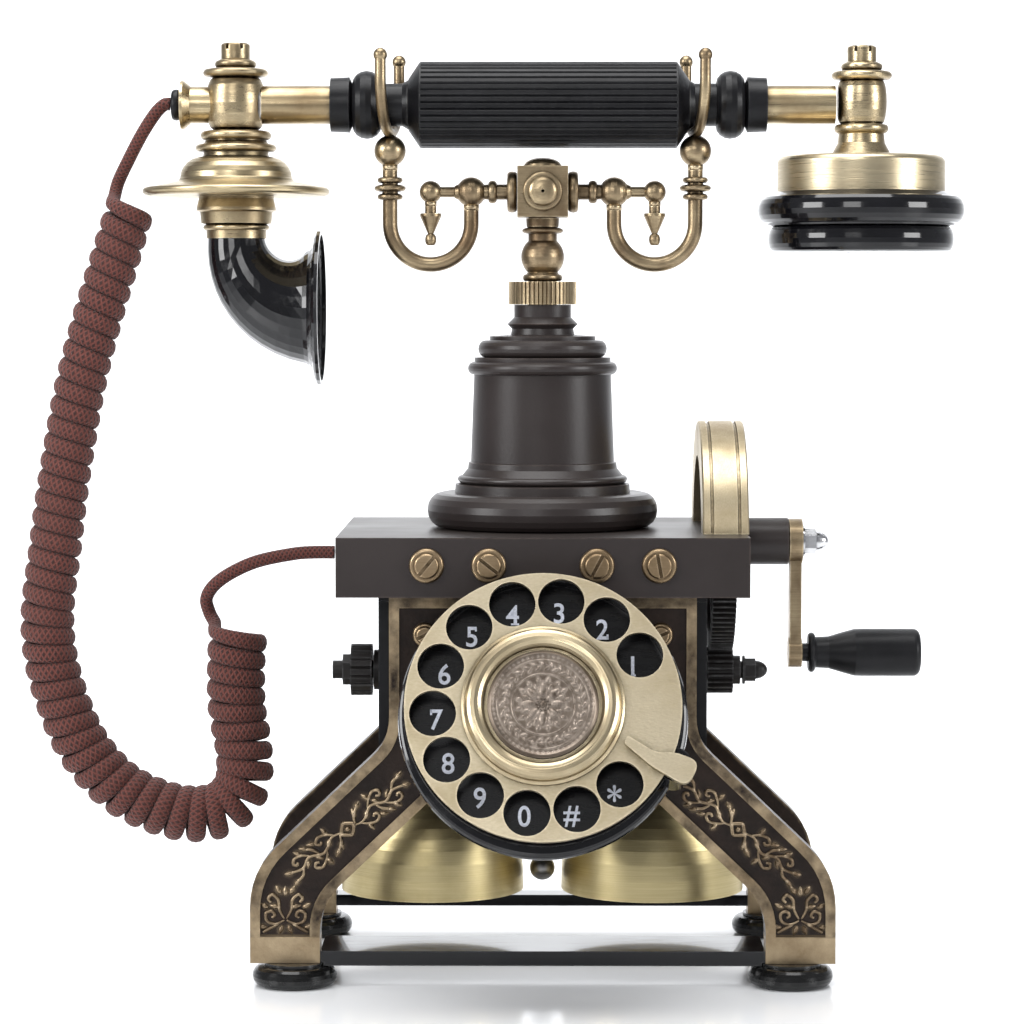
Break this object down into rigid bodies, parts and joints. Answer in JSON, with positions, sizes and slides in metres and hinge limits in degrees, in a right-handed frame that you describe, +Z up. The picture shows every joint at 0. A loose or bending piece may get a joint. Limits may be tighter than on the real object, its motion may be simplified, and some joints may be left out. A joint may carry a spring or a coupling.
{
  "type": "rotary telephone",
  "caption": "Skeleton table telephone with a rotary dial, a handset on a hook cradle over a turned tower, gongs under a flat box, a hand crank and a curled cord.",
  "frame": {"origin": "middle of the underside of the telephone's own bounding box, cord left out", "axes": "+X along the handset from mouthpiece to earpiece, +Y from the dial to the back, +Z up"},
  "size_m": [0.3291, 0.1696, 0.3199],
  "materials": {
    "bronze_paint": "satin dark bronze lacquer",
    "aged_bronze": "dark patina with rubbed brass edges",
    "antique_brass": "brushed antique brass",
    "bell_brass": "brushed yellow brass",
    "black_gloss": "polished black",
    "black_satin": "satin black",
    "foot_rubber": "moulded rubber",
    "bright_steel": "polished",
    "coil_copper": "enamelled wire",
    "circuit_green": "solder resist",
    "braided_cord": "braided textile"
  },
  "bodies": {
    "base": {"front_frame": "aged_bronze", "rear_frame": "aged_bronze", "base_rails": "black_gloss", "foot_pads": "foot_rubber", "case_shell": "black_satin", "case_lid": "black_satin", "circuit_board": "circuit_green", "top_box": "bronze_paint", "box_floor": "bronze_paint", "terminal_screws": "antique_brass", "plate_screws": "antique_brass", "tower": "bronze_paint", "knurled_collar": "antique_brass", "hook_switch": "bright_steel", "cradle_spring": "bright_steel", "dial_housing": "black_gloss", "number_plate": "black_gloss", "finger_stop": "antique_brass", "dial_switch": "bright_steel", "gongs": "bell_brass", "gong_posts": "bright_steel", "ringer_coils": "coil_copper", "ringer_yoke": "bright_steel", "gear_guard": "antique_brass", "crank_bearing": "bronze_paint", "shaft_bracket": "bright_steel", "cord_gland": "black_satin", "cord_lead_top": "braided_cord", "cord_coil": "braided_cord", "cord_lead_base": "braided_cord"},
    "cradle": {"cradle_post": "antique_brass", "cradle_arms": "antique_brass", "cradle_hooks": "antique_brass", "cradle_forks": "antique_brass", "cradle_drops": "antique_brass"},
    "handset": {"grip": "black_satin", "grip_ends": "black_satin", "arm_tube": "antique_brass", "mouth_joint": "antique_brass", "joint_nuts": "antique_brass", "guard_disc": "antique_brass", "mouth_collar": "antique_brass", "mouth_horn": "black_gloss", "mic_capsule": "bright_steel", "ear_joint": "antique_brass", "ear_cup": "antique_brass", "ear_cap": "black_gloss", "ear_speaker": "bright_steel", "cord_grommet": "black_satin"},
    "dial": {"finger_wheel": "antique_brass", "dial_boss": "antique_brass", "dial_medallion": "antique_brass", "dial_spindle": "bright_steel"},
    "crank": {"crank_shaft": "bright_steel", "drive_gear": "black_satin", "crank_arm": "antique_brass"},
    "crank_grip": {"crank_handle": "black_satin"},
    "magneto": {"pinion": "black_satin", "side_knob": "black_satin"},
    "ringer_striker": {"striker": "bright_steel"}
  },
  "joints": [
    {"name": "handset_lift", "type": "slide", "parent": "base", "child": "handset", "axis": [0, 0, 1], "range_m": [0, 0.05], "deforming": ["cord_coil", "cord_lead_top"]},
    {"name": "cradle_rise", "type": "slide", "parent": "base", "child": "cradle", "axis": [0, 0, 1], "range_m": [0, 0.005], "deforming": ["cradle_spring"]},
    {"name": "dial_spin", "type": "hinge", "parent": "base", "child": "dial", "pos_m": [-0.0037, -0.06648, 0.0993], "axis": [0, -0.9272, 0.3746], "range_deg": [-325, 0], "stiffness_Nm_per_rad": 0.008, "springref_deg": 45.84},
    {"name": "crank_spin", "type": "hinge", "parent": "base", "child": "crank", "pos_m": [-0.0037, 0.02352, 0.147], "axis": [1, 0, 0], "continuous": true},
    {"name": "crank_grip_spin", "type": "hinge", "parent": "crank", "child": "crank_grip", "pos_m": [0.0963, 0.02352, 0.108], "axis": [1, 0, 0], "continuous": true},
    {"name": "magneto_spin", "type": "hinge", "parent": "base", "child": "magneto", "pos_m": [-0.0037, 0.02352, 0.10185], "axis": [1, 0, 0], "continuous": true},
    {"name": "striker_swing", "type": "hinge", "parent": "base", "child": "ringer_striker", "pos_m": [-0.0037, 0.02352, 0.086], "axis": [0, 1, 0], "range_deg": [-2, 2]}
  ],
  "couplings": [
    {"joint": "cradle_rise", "follows": "handset_lift", "ratio": 0.1},
    {"joint": "magneto_spin", "follows": "crank_spin", "ratio": -5}
  ]
}
